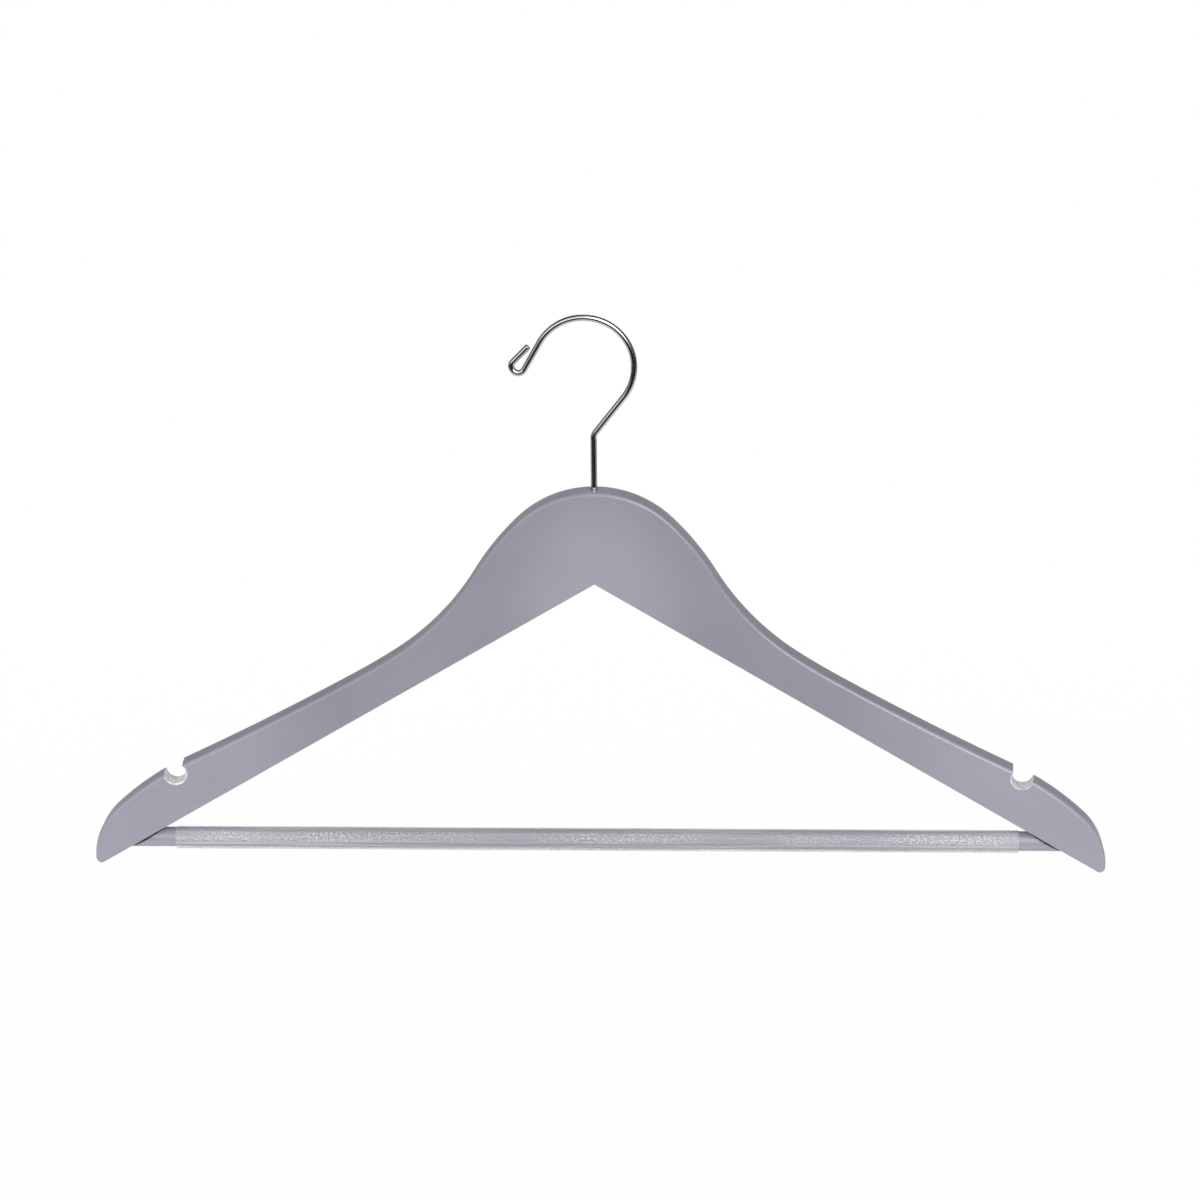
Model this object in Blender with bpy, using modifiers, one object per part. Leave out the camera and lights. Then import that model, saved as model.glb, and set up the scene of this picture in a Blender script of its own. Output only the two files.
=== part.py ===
"""Wooden suit hanger with a swivelling wire hook and a sleeved trouser bar.

The hanger stands upright in the XZ plane with its front towards -Y.
The origin is the point inside the top of the hook that rests on a rail.
"""
import math
from collections import namedtuple

import bmesh
import bpy
from mathutils import Vector

MM = 0.001

# Fits between separate pieces
FIT_GAP = 0.3 * MM
GLUE_LINE = 0.3 * MM

# Wire hook
WIRE_DIAMETER = 2.7 * MM
HOOK_INSIDE_RADIUS = 19.9 * MM
HOOK_NECK_ANGLE = 52.0
HOOK_END_ANGLE = 150.5
STEM_OFFSET = 3.9 * MM
STEM_BEND_RADIUS = 5.0 * MM
STEM_REACH = 23.9 * MM
EYE_RUN = 13.4 * MM
EYE_RADIUS = 2.9 * MM
EYE_TURN = 195.0
EYE_RETURN = 9.3 * MM
HEAD_DIAMETER = 5.2 * MM
HEAD_HEIGHT = 1.4 * MM

# Washer above the head of the wire, and the pocket that hides both
WASHER_DIAMETER = 7.0 * MM
WASHER_THICKNESS = 0.8 * MM
POCKET_DEPTH = 8.0 * MM

# Outline of one arm, as arcs from the crown to the tip, each with the slope at its end
ARM_THICKNESS = 12.0 * MM
CROWN_RADIUS = 47.4 * MM
CROWN_SLOPE = 44.1
FLANK_RADIUS = 120.5 * MM
FLANK_SLOPE = 58.65
NECK_RADIUS = 116.5 * MM
NECK_SLOPE = 33.4
RUNOUT_RADIUS = 312.0 * MM
RUNOUT_SLOPE = 29.5
SHOULDER_RADIUS = 1384.0 * MM
SHOULDER_SLOPE = 26.0
END_RADIUS = 130.0 * MM
END_SLOPE = 43.4
TIP_RADIUS = 30.7 * MM
TIP_UPRIGHT = 0.4 * MM
TIP_CORNER_RADIUS = 2.3 * MM
UNDERSIDE_SLOPE = 30.8
TOP_EDGE_ROUND = 1.8 * MM
LOW_EDGE_ROUND = 0.8 * MM

# Strap notches: a round pocket at a distance from the tip and a depth under the upper edge, and
# an upright wall that far from its middle on the hook's side. Both are cut at a slant in plan,
# so that the front of a notch lies nearer the hook.
Notch = namedtuple("Notch", "from_tip depth radius wall")
LEFT_NOTCH = Notch(from_tip=36.8 * MM, depth=7.7 * MM, radius=4.7 * MM, wall=3.3 * MM)
RIGHT_NOTCH = Notch(from_tip=37.0 * MM, depth=7.05 * MM, radius=4.7 * MM, wall=4.1 * MM)
NOTCH_SLANT = 5.0

# Trouser bar and the brads that hold it in its sockets
BAR_DIAMETER = 8.7 * MM
BAR_RISE = 13.2 * MM
BAR_TILT = 0.26
BAR_END_COVER = 9.0 * MM
BAR_END_CHAMFER = 0.5 * MM
BRAD_DIAMETER = 1.2 * MM
BRAD_LENGTH = 8.5 * MM
BRAD_HEAD_DIAMETER = 2.2 * MM
BRAD_HEAD_HEIGHT = 0.6 * MM
BRAD_FROM_BAR_END = 5.0 * MM

# Ribbed clear sleeve on the bar
SLEEVE_WALL = 0.28 * MM
SLEEVE_RIB_HEIGHT = 0.12 * MM
SLEEVE_RIB_COUNT = 40
SLEEVE_END_GAP = 7.4 * MM
SLEEVE_SHIFT = -1.1 * MM

# Smoothness of round shapes: a chord lies no further than the sag inside its arc
WIRE_RESOLUTION = 4
ROUND_SIDES = 32
ARC_SAG = 0.03 * MM


def clear_scene():
    for item in list(bpy.data.objects):
        bpy.data.objects.remove(item, do_unlink=True)


def make_collection(name):
    group = bpy.data.collections.new(name)
    bpy.context.scene.collection.children.link(group)
    return group


def principled(name, colour, roughness, metallic):
    material = bpy.data.materials.new(name)
    material.use_nodes = True
    shader = material.node_tree.nodes["Principled BSDF"]
    shader.inputs["Base Color"].default_value = (*colour, 1.0)
    shader.inputs["Roughness"].default_value = roughness
    shader.inputs["Metallic"].default_value = metallic
    return material


def arm_paint(name):
    return principled(name, (0.35, 0.34, 0.41), 0.38, 0.0)


def bar_paint():
    return principled("bar_paint", (0.36, 0.35, 0.41), 0.42, 0.0)


def hook_chrome():
    return principled("hook_chrome", (0.72, 0.72, 0.74), 0.08, 1.0)


def washer_steel():
    return principled("washer_steel", (0.55, 0.55, 0.56), 0.35, 1.0)


def brad_steel(name):
    return principled(name, (0.48, 0.48, 0.50), 0.4, 1.0)


def sleeve_vinyl():
    material = principled("sleeve_vinyl", (0.88, 0.88, 0.90), 0.25, 0.0)
    shader = material.node_tree.nodes["Principled BSDF"]
    shader.inputs["Transmission Weight"].default_value = 0.8
    return material


class Trace:
    """A flat path made of straight runs and arcs, each leaving where the last one ended."""

    def __init__(self, x, z, heading):
        self.points = [(x, z)]
        self.heading = heading

    def run(self, length):
        x, z = self.points[-1]
        angle = math.radians(self.heading)
        self.points.append((x + length * math.cos(angle), z + length * math.sin(angle)))
        return self

    def arc(self, radius, turn):
        """Turns by the given angle in degrees, anticlockwise when it is positive."""
        x, z = self.points[-1]
        side = math.copysign(1.0, turn)
        start = math.radians(self.heading - 90.0 * side)
        centre_x = x - radius * math.cos(start)
        centre_z = z - radius * math.sin(start)
        step_angle = math.degrees(2.0 * math.acos(1.0 - ARC_SAG / radius))
        count = max(2, math.ceil(abs(turn) / step_angle))
        for step in range(1, count + 1):
            angle = start + math.radians(turn) * step / count
            self.points.append((centre_x + radius * math.cos(angle), centre_z + radius * math.sin(angle)))
        self.heading += turn
        return self


def upper_edge():
    """Upper edge of the right arm, from the middle of the crown to the upright tangent at the tip."""
    slopes = (
        (CROWN_RADIUS, 0.0, CROWN_SLOPE),
        (FLANK_RADIUS, CROWN_SLOPE, FLANK_SLOPE),
        (NECK_RADIUS, FLANK_SLOPE, NECK_SLOPE),
        (RUNOUT_RADIUS, NECK_SLOPE, RUNOUT_SLOPE),
        (SHOULDER_RADIUS, RUNOUT_SLOPE, SHOULDER_SLOPE),
        (END_RADIUS, SHOULDER_SLOPE, END_SLOPE),
        (TIP_RADIUS, END_SLOPE, 90.0),
    )
    trace = Trace(0.0, 0.0, 0.0)
    for radius, slope_in, slope_out in slopes:
        trace.arc(radius, slope_in - slope_out)
    return trace


def upper_edge_height(x):
    points = upper_edge().points
    for (x0, z0), (x1, z1) in zip(points, points[1:]):
        if x0 <= x <= x1:
            return z0 + (z1 - z0) * (x - x0) / (x1 - x0)
    return points[-1][1]


def tip_reach():
    return upper_edge().points[-1][0]


def tip_corner_turn():
    """Angle that the outline turns through at the lower corner of the tip, in degrees."""
    return 90.0 + UNDERSIDE_SLOPE


def underside_height(x):
    """Height of the straight underside at a distance x from the middle, from the crown down."""
    tip_x, tip_z = upper_edge().points[-1]
    corner_reach = TIP_CORNER_RADIUS * math.tan(math.radians(tip_corner_turn() / 2.0))
    heel_z = tip_z - TIP_UPRIGHT - corner_reach
    return heel_z + (tip_x - x) * math.tan(math.radians(UNDERSIDE_SLOPE))


def underside_reach(height):
    """Distance from the middle at which the underside has the given height."""
    slope = math.radians(UNDERSIDE_SLOPE)
    return (underside_height(0.0) - height) / math.tan(slope)


def arm_outline():
    """Closed outline of the right arm, from the glue line round the tip and back to the apex."""
    trace = upper_edge()
    trace.run(TIP_UPRIGHT)
    trace.arc(TIP_CORNER_RADIUS, -tip_corner_turn())
    middle = GLUE_LINE / 2.0
    points = [point for point in trace.points if point[0] > middle]
    top = (middle, upper_edge_height(middle))
    apex = (middle, underside_height(middle))
    return [top] + points + [apex]


def crown_height():
    """Height of the crown above the rail seat, a negative number."""
    radius = HOOK_INSIDE_RADIUS + WIRE_DIAMETER / 2.0
    neck = math.radians(HOOK_NECK_ANGLE)
    tangent_x = radius * math.sin(neck)
    tangent_z = -HOOK_INSIDE_RADIUS - radius * math.cos(neck)
    corner_z = tangent_z - (tangent_x - STEM_OFFSET) * math.tan(neck)
    return corner_z - STEM_REACH


def pocket_roof():
    """Height of the roof of the washer's pocket, from the crown down."""
    return underside_height(0.0) + POCKET_DEPTH


def washer_top():
    return pocket_roof() - FIT_GAP


def head_top():
    return washer_top() - WASHER_THICKNESS - FIT_GAP


def bar_height():
    return underside_height(tip_reach()) + BAR_RISE


def bar_reach():
    return tip_reach() - BAR_END_COVER


def bore_radius():
    return WIRE_DIAMETER / 2.0 + FIT_GAP


def socket_radius():
    return BAR_DIAMETER / 2.0 + FIT_GAP


def flat_curve(name, outlines, half_depth, parent):
    """A filled 2D curve in the XZ plane, thickened by half_depth to each side."""
    data = bpy.data.curves.new(name, "CURVE")
    data.dimensions = "2D"
    data.fill_mode = "BOTH"
    data.extrude = half_depth
    for outline in outlines:
        spline = data.splines.new("POLY")
        spline.points.add(len(outline) - 1)
        for point, (x, z) in zip(spline.points, outline):
            point.co = (x, z, 0.0, 1.0)
        spline.use_cyclic_u = True
    shape = bpy.data.objects.new(name, data)
    shape.rotation_euler = (math.radians(90.0), 0.0, 0.0)
    shape.parent = parent
    bpy.context.scene.collection.objects.link(shape)
    return shape


def mesh_from_curve(curve, collection):
    """Replaces a curve by a welded mesh with undivided flat faces."""
    bpy.context.view_layer.update()
    depsgraph = bpy.context.evaluated_depsgraph_get()
    data = bpy.data.meshes.new_from_object(curve.evaluated_get(depsgraph))
    name = curve.name
    shape_matrix = curve.matrix_world.copy()
    parent = curve.parent
    bpy.data.objects.remove(curve)
    work = bmesh.new()
    work.from_mesh(data)
    bmesh.ops.remove_doubles(work, verts=work.verts, dist=0.00001)
    inner = [edge for edge in work.edges if edge.is_manifold and edge.calc_face_angle() < 0.002]
    bmesh.ops.dissolve_edges(work, edges=inner, use_verts=False)
    work.to_mesh(data)
    work.free()
    data.name = name
    shape = bpy.data.objects.new(name, data)
    collection.objects.link(shape)
    shape.parent = parent
    shape.matrix_world = shape_matrix
    return shape


def cylinder_mesh(name, radius, length):
    """A closed cylinder about its own Z axis, centred on its middle."""
    data = bpy.data.meshes.new(name)
    work = bmesh.new()
    bmesh.ops.create_cone(
        work,
        cap_ends=True,
        segments=ROUND_SIDES,
        radius1=radius,
        radius2=radius,
        depth=length,
    )
    work.to_mesh(data)
    work.free()
    return data


def place_along(shape, start, end):
    """Centres a shape between two points with its own Z axis along them."""
    first = Vector(start)
    last = Vector(end)
    shape.location = (first + last) / 2.0
    shape.rotation_mode = "QUATERNION"
    shape.rotation_quaternion = (last - first).to_track_quat("Z", "Y")


def cylinder_between(name, start, end, radius, collection, parent):
    length = (Vector(end) - Vector(start)).length
    shape = bpy.data.objects.new(name, cylinder_mesh(name, radius, length))
    collection.objects.link(shape)
    shape.parent = parent
    place_along(shape, start, end)
    return shape


def hide_cutter(shape):
    shape.hide_render = True
    shape.display_type = "WIRE"
    return shape


def boolean(shape, tool, operation):
    modifier = shape.modifiers.new(f"{operation.lower()} {tool.name}", "BOOLEAN")
    modifier.operation = operation
    modifier.solver = "EXACT"
    modifier.object = tool


def shade_round(data):
    data.shade_smooth()
    data.set_sharp_from_angle(angle=math.radians(35.0))


def on_underside(corner):
    """True for a corner on the straight underside, in the flat coordinates of an arm's outline."""
    return abs(corner.y - underside_height(abs(corner.x))) < ARC_SAG


def weigh_rims(shape):
    """Marks the rims of an arm's two faces for rounding: full on top, less along the underside."""
    data = shape.data
    weights = data.attributes.new("bevel_weight_edge", "FLOAT", "EDGE")
    for edge in data.edges:
        first, last = (data.vertices[index].co for index in edge.vertices)
        on_face = abs(first.z + last.z) > ARM_THICKNESS / 2.0
        across_glue = max(abs(first.x), abs(last.x)) < GLUE_LINE
        if on_face and not across_glue:
            straight = on_underside(first) and on_underside(last)
            weights.data[edge.index].value = LOW_EDGE_ROUND / TOP_EDGE_ROUND if straight else 1.0


def round_rims(shape):
    weigh_rims(shape)
    modifier = shape.modifiers.new("rounded rims", "BEVEL")
    modifier.limit_method = "WEIGHT"
    modifier.offset_type = "OFFSET"
    modifier.width = TOP_EDGE_ROUND
    modifier.segments = 3
    modifier.use_clamp_overlap = False


def notch_outline(side):
    """Closed outline of a strap notch, down its upright wall and round the pocket."""
    notch = LEFT_NOTCH if side < 0 else RIGHT_NOTCH
    reach = tip_reach() - notch.from_tip
    centre_z = upper_edge_height(reach) - notch.depth + notch.radius
    wall_x = reach - notch.wall
    wall_turn = math.degrees(math.acos(notch.wall / notch.radius))
    wall_foot = centre_z + notch.radius * math.sin(math.radians(wall_turn))
    trace = Trace(wall_x, wall_foot, 270.0 - wall_turn)
    trace.arc(notch.radius, 180.0 + wall_turn)
    trace.run(notch.depth * 2.0)
    top_z = trace.points[-1][1]
    return [(side * x, z) for x, z in trace.points + [(wall_x, top_z)]]


def slant_in_plan(cutter, side):
    """Leans a notch cutter so that its front, the +Z end in its own axes, comes nearer the hook."""
    slope = math.tan(math.radians(NOTCH_SLANT))
    for corner in cutter.data.vertices:
        corner.co.x -= side * slope * corner.co.z


def notch_cutter(side, name, cutters, parent):
    curve = flat_curve(name, [notch_outline(side)], ARM_THICKNESS, parent)
    cutter = mesh_from_curve(curve, cutters)
    slant_in_plan(cutter, side)
    return hide_cutter(cutter)


def stem_cutters(cutters, parent):
    """The bore that the wire turns in, and the pocket for its washer and head."""
    above = ARM_THICKNESS
    below = underside_height(0.0) - ARM_THICKNESS
    roof = pocket_roof()
    bore = cylinder_between("stem_bore", (0, 0, roof - FIT_GAP), (0, 0, above), bore_radius(), cutters, parent)
    pocket_radius = WASHER_DIAMETER / 2.0 + FIT_GAP
    pocket = cylinder_between("washer_pocket", (0, 0, below), (0, 0, roof), pocket_radius, cutters, parent)
    return hide_cutter(bore), hide_cutter(pocket)


def brad_reach():
    """Distance of a brad from the middle of the bar."""
    return bar_reach() - BRAD_FROM_BAR_END


def brad_cutter(side, name, cutters, parent):
    """The hole of one brad, with a wider mouth for its head."""
    x = side * brad_reach()
    back = ARM_THICKNESS / 2.0
    head_floor = back - FIT_GAP - BRAD_HEAD_HEIGHT - FIT_GAP
    end = back - FIT_GAP - BRAD_LENGTH - FIT_GAP
    shank_radius = BRAD_DIAMETER / 2.0 + FIT_GAP
    head_radius = BRAD_HEAD_DIAMETER / 2.0 + FIT_GAP
    outside = back + ARM_THICKNESS
    shank = cylinder_between(name, (x, outside, 0), (x, end, 0), shank_radius, cutters, parent)
    head = cylinder_between(f"{name}_head", (x, outside, 0), (x, head_floor, 0), head_radius, cutters, parent)
    return hide_cutter(shank), hide_cutter(head)


def socket_cutter(side, name, cutters, parent):
    inner = side * underside_reach(bar_height() + BAR_DIAMETER * 2.0)
    outer = side * (bar_reach() + FIT_GAP)
    return hide_cutter(cylinder_between(name, (inner, 0, 0), (outer, 0, 0), socket_radius(), cutters, parent))


def build_arm(side, name, stem_tools, brad_tools, parts, cutters, parent, bar_axis):
    outline = [(side * x, z) for x, z in arm_outline()]
    curve = flat_curve(name, [outline], ARM_THICKNESS / 2.0, parent)
    arm = mesh_from_curve(curve, parts)
    arm.data.materials.append(arm_paint(f"{name}_paint"))
    round_rims(arm)
    for tool in stem_tools:
        boolean(arm, tool, "DIFFERENCE")
    boolean(arm, notch_cutter(side, f"{name}_notch", cutters, parent), "DIFFERENCE")
    boolean(arm, socket_cutter(side, f"{name}_socket", cutters, bar_axis), "DIFFERENCE")
    for tool in brad_tools:
        boolean(arm, tool, "DIFFERENCE")
    shade_round(arm.data)
    return arm


def build_bar(brad_tools, parts, parent):
    reach = bar_reach()
    bar = cylinder_between("trouser_bar", (-reach, 0, 0), (reach, 0, 0), BAR_DIAMETER / 2.0, parts, parent)
    bar.data.materials.append(bar_paint())
    chamfer = bar.modifiers.new("end chamfers", "BEVEL")
    chamfer.limit_method = "ANGLE"
    chamfer.angle_limit = math.radians(60.0)
    chamfer.width = BAR_END_CHAMFER
    chamfer.segments = 1
    for tool in brad_tools:
        boolean(bar, tool, "DIFFERENCE")
    shade_round(bar.data)
    return bar


def circle_outline(radius, count, phase):
    angles = [2.0 * math.pi * (step + phase) / count for step in range(count)]
    return [(radius * math.cos(angle), radius * math.sin(angle)) for angle in angles]


def sleeve_profile():
    """Ribbed outer outline and round bore of the sleeve, about the bar's axis."""
    bore = BAR_DIAMETER / 2.0 + FIT_GAP
    root = bore + SLEEVE_WALL
    crests = circle_outline(root + SLEEVE_RIB_HEIGHT, SLEEVE_RIB_COUNT, 0.0)
    valleys = circle_outline(root, SLEEVE_RIB_COUNT, 0.5)
    ribbed = [point for pair in zip(crests, valleys) for point in pair]
    return [ribbed, circle_outline(bore, SLEEVE_RIB_COUNT, 0.0)]


def build_sleeve(parts, parent):
    half_length = underside_reach(bar_height() + BAR_DIAMETER / 2.0) - SLEEVE_END_GAP
    curve = flat_curve("bar_sleeve", sleeve_profile(), half_length, parent)
    curve.rotation_euler = (math.radians(90.0), 0.0, math.radians(90.0))
    curve.location = (SLEEVE_SHIFT, 0.0, 0.0)
    sleeve = mesh_from_curve(curve, parts)
    sleeve.data.materials.append(sleeve_vinyl())
    return sleeve


def hook_path():
    """Middle line of the wire from its head up the stem, round the hook and back to its cut end."""
    radius = HOOK_INSIDE_RADIUS + WIRE_DIAMETER / 2.0
    neck_turn = 90.0 - HOOK_NECK_ANGLE
    neck = math.radians(HOOK_NECK_ANGLE)
    bend_run = STEM_BEND_RADIUS * math.tan(math.radians(neck_turn / 2.0))
    corner_z = crown_height() + STEM_REACH
    foot_z = crown_height() + head_top()
    neck_run = (radius * math.sin(neck) - STEM_OFFSET) / math.cos(neck) - bend_run
    trace = Trace(STEM_OFFSET, foot_z, 90.0)
    trace.run(corner_z - bend_run - foot_z)
    trace.arc(STEM_BEND_RADIUS, -neck_turn)
    trace.run(neck_run)
    trace.arc(radius, HOOK_END_ANGLE + neck_turn)
    trace.run(EYE_RUN)
    trace.arc(EYE_RADIUS, -EYE_TURN)
    trace.run(EYE_RETURN)
    return trace.points


def build_hook(parts):
    """One bent wire whose foot is swollen into a head."""
    foot_x, foot_z = hook_path()[0]
    head_ratio = HEAD_DIAMETER / WIRE_DIAMETER
    under_head = FIT_GAP * 0.1
    stations = [(foot_x, foot_z - HEAD_HEIGHT, head_ratio), (foot_x, foot_z - under_head, head_ratio)]
    stations += [(x, z, 1.0) for x, z in hook_path()]
    data = bpy.data.curves.new("hook", "CURVE")
    data.dimensions = "3D"
    data.bevel_depth = WIRE_DIAMETER / 2.0
    data.bevel_resolution = WIRE_RESOLUTION
    data.use_fill_caps = True
    spline = data.splines.new("POLY")
    spline.points.add(len(stations) - 1)
    for point, (x, z, ratio) in zip(spline.points, stations):
        point.co = (x, 0.0, z, 1.0)
        point.radius = ratio
    data.materials.append(hook_chrome())
    hook = bpy.data.objects.new("hook", data)
    parts.objects.link(hook)
    return hook


def turned_ring(name, inner, outer, bottom, top, parts, parent):
    """A flat ring turned about its own Z axis from a closed profile."""
    profile = [(outer, top), (outer, bottom), (inner, bottom), (inner, top)]
    data = bpy.data.meshes.new(name)
    work = bmesh.new()
    corners = [work.verts.new((x, 0.0, z)) for x, z in profile]
    for first, last in zip(corners, corners[1:] + corners[:1]):
        work.edges.new((first, last))
    work.to_mesh(data)
    work.free()
    ring = bpy.data.objects.new(name, data)
    parts.objects.link(ring)
    ring.parent = parent
    screw = ring.modifiers.new("turned", "SCREW")
    screw.steps = ROUND_SIDES
    screw.render_steps = ROUND_SIDES
    screw.use_merge_vertices = True
    screw.merge_threshold = 0.00001
    return ring


def build_washer(parts, parent):
    bottom = washer_top() - WASHER_THICKNESS
    washer = turned_ring(
        "hook_washer", bore_radius(), WASHER_DIAMETER / 2.0, bottom, washer_top(), parts, parent
    )
    washer.data.materials.append(washer_steel())
    return washer


def build_brad(side, name, parts, parent):
    """A brad driven from the back of the arm into the end of the bar, its head just sunk."""
    face = ARM_THICKNESS / 2.0 - FIT_GAP
    neck = face - BRAD_HEAD_HEIGHT
    data = bpy.data.curves.new(name, "CURVE")
    data.dimensions = "3D"
    data.bevel_depth = BRAD_DIAMETER / 2.0
    data.bevel_resolution = 2
    data.use_fill_caps = True
    head_ratio = BRAD_HEAD_DIAMETER / BRAD_DIAMETER
    step = FIT_GAP * 0.1
    stations = (
        (face, head_ratio),
        (neck + step, head_ratio),
        (neck, 1.0),
        (face - BRAD_LENGTH + BRAD_DIAMETER, 1.0),
        (face - BRAD_LENGTH, 0.3),
    )
    spline = data.splines.new("POLY")
    spline.points.add(len(stations) - 1)
    for point, (y, ratio) in zip(spline.points, stations):
        point.co = (0.0, y, 0.0, 1.0)
        point.radius = ratio
    data.materials.append(brad_steel(f"{name}_steel"))
    brad = bpy.data.objects.new(name, data)
    brad.location = (side * brad_reach(), 0.0, 0.0)
    brad.parent = parent
    parts.objects.link(brad)
    return brad


def axis_empty(name, location, parts, parent):
    axis = bpy.data.objects.new(name, None)
    parts.objects.link(axis)
    axis.parent = parent
    axis.location = location
    return axis


def build_hanger():
    clear_scene()
    parts = make_collection("suit_hanger")
    cutters = make_collection("cutters")
    swivel = axis_empty("swivel_axis", (STEM_OFFSET, 0.0, crown_height()), parts, None)
    bar_axis = axis_empty("bar_axis", (0.0, 0.0, bar_height()), parts, swivel)
    bar_axis.rotation_euler = (0.0, math.radians(-BAR_TILT), 0.0)
    stem_tools = stem_cutters(cutters, swivel)
    brads_left = brad_cutter(-1, "brad_hole_left", cutters, bar_axis)
    brads_right = brad_cutter(1, "brad_hole_right", cutters, bar_axis)
    build_arm(-1, "left_arm", stem_tools, brads_left, parts, cutters, swivel, bar_axis)
    build_arm(1, "right_arm", stem_tools, brads_right, parts, cutters, swivel, bar_axis)
    build_bar(brads_left[:1] + brads_right[:1], parts, bar_axis)
    build_sleeve(parts, bar_axis)
    build_washer(parts, swivel)
    build_brad(-1, "bar_brad_left", parts, bar_axis)
    build_brad(1, "bar_brad_right", parts, bar_axis)
    build_hook(parts)
    bpy.context.view_layer.update()


build_hanger()
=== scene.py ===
import math

import bpy
import numpy as np
from mathutils import Matrix, Vector


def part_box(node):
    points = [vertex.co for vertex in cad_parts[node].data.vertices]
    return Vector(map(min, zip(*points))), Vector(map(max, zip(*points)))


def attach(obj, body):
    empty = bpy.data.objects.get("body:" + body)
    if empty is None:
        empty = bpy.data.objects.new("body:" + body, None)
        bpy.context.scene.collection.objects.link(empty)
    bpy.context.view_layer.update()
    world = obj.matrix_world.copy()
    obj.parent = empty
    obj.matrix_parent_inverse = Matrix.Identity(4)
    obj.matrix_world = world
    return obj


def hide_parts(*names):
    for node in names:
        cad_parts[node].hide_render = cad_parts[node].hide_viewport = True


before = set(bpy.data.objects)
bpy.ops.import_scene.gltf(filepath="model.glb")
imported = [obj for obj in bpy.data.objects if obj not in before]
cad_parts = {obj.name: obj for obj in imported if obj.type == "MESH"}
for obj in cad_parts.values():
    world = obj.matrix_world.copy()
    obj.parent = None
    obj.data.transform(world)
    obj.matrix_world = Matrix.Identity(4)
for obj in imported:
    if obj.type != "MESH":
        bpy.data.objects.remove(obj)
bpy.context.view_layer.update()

mm = 0.001
print("frame loaded")


# A path of straight runs and arcs. Each move is (radius, amount): with radius 0 the amount is a
# length, otherwise it is a turn in degrees, anticlockwise when positive. A point on an arc is the
# arc's centre plus its radius times the cosine and sine of the angle reached.
def tracePath(start, heading, moves, step, widestTurn=6):
    stretches = [np.array([start], float)]
    for radius, amount in moves:
        here = stretches[-1][-1]
        ahead = math.radians(heading)
        if radius == 0:
            count = max(1, math.ceil(amount / step))
            share = np.linspace(0, 1, count + 1)[1:, None]
            stretches.append(here + share * amount * np.array([math.cos(ahead), math.sin(ahead)]))
            continue
        begin = ahead - math.copysign(math.pi / 2, amount)
        centre = here - radius * np.array([math.cos(begin), math.sin(begin)])
        arcLength = radius * math.radians(abs(amount))
        count = max(math.ceil(arcLength / step), math.ceil(abs(amount) / widestTurn))
        angle = begin + math.radians(amount) * np.linspace(0, 1, count + 1)[1:]
        stretches.append(centre + radius * np.stack([np.cos(angle), np.sin(angle)], -1))
        heading += amount
    return stretches


# Turns a grid of points (rows by closed columns) into a mesh. Rows run from one end to the other,
# the flat ends are closed by one face each, or the last row joins the first one. The map "lay"
# holds how far along and around each corner lies.
def gridMesh(name, grid, joinRows=False, along=None, around=None):
    rows, columns = grid.shape[:2]
    index = np.arange(rows * columns).reshape(rows, columns)
    low, high = (index, np.roll(index, -1, 0)) if joinRows else (index[:-1], index[1:])
    quads = np.stack([low, high, np.roll(high, -1, 1), np.roll(low, -1, 1)], -1).reshape(-1, 4)
    faces = quads.tolist()
    if not joinRows:
        faces += [index[0].tolist(), index[-1][::-1].tolist()]
    mesh = bpy.data.meshes.new(name)
    mesh.from_pydata((grid.reshape(-1, 3) * mm).tolist(), [], faces)
    if along is not None:
        layRows = np.broadcast_to(along[:, None], (rows, columns + 1))
        layColumns = np.broadcast_to(around[None, :], (rows, columns + 1))
        lay = np.stack([layRows, layColumns], -1)
        lay = np.concatenate([lay, lay[:1]]) if joinRows else lay
        corners = np.stack([lay[:-1, :-1], lay[1:, :-1], lay[1:, 1:], lay[:-1, 1:]], 2).reshape(-1)
        flat = np.zeros(len(mesh.loops) * 2, np.float32)
        flat[: corners.size] = corners
        mesh.uv_layers.new(name="lay").data.foreach_set("uv", flat)
    mesh.update()
    return mesh


def smoothShade(mesh, angle):
    mesh.shade_smooth()
    mesh.set_sharp_from_angle(angle=math.radians(angle))


def addPiece(name, mesh, smoothAngle=35):
    smoothShade(mesh, smoothAngle)
    piece = bpy.data.objects.new(name, mesh)
    bpy.context.scene.collection.objects.link(piece)
    return piece


# Two unit vectors square to an axis and to each other.
def squareTo(axis):
    axis = np.array(axis, float) / np.linalg.norm(axis)
    helper = np.array([0.0, 1.0, 0.0]) if abs(axis[1]) < 0.9 else np.array([1.0, 0.0, 0.0])
    first = np.cross(helper, axis)
    first /= np.linalg.norm(first)
    return axis, first, np.cross(axis, first)


# A shape turned about an axis: each point is the origin, plus its station along the axis, plus its
# radius times a unit vector that turns round the axis.
def turnedMesh(name, profile, origin, axis, sides, joinRows=False):
    axis, first, second = squareTo(axis)
    stations, radii = np.array(profile, float).T
    turn = np.linspace(0, 2 * np.pi, sides, endpoint=False)
    spoke = np.cos(turn)[:, None] * first + np.sin(turn)[:, None] * second
    grid = np.array(origin, float) + stations[:, None, None] * axis + radii[:, None, None] * spoke
    return gridMesh(name, grid[::-1], joinRows, stations[::-1], np.linspace(0, 1, sides + 1))


# A piece that only cuts. Its faces carry the number of the material slot that they leave behind.
def cuttingTool(mesh, slotCount, slot):
    tool = addPiece(mesh.name, mesh)
    for _ in range(slotCount):
        mesh.materials.append(None)
    mesh.polygons.foreach_set("material_index", np.full(len(mesh.polygons), slot, np.int32))
    return tool


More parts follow.
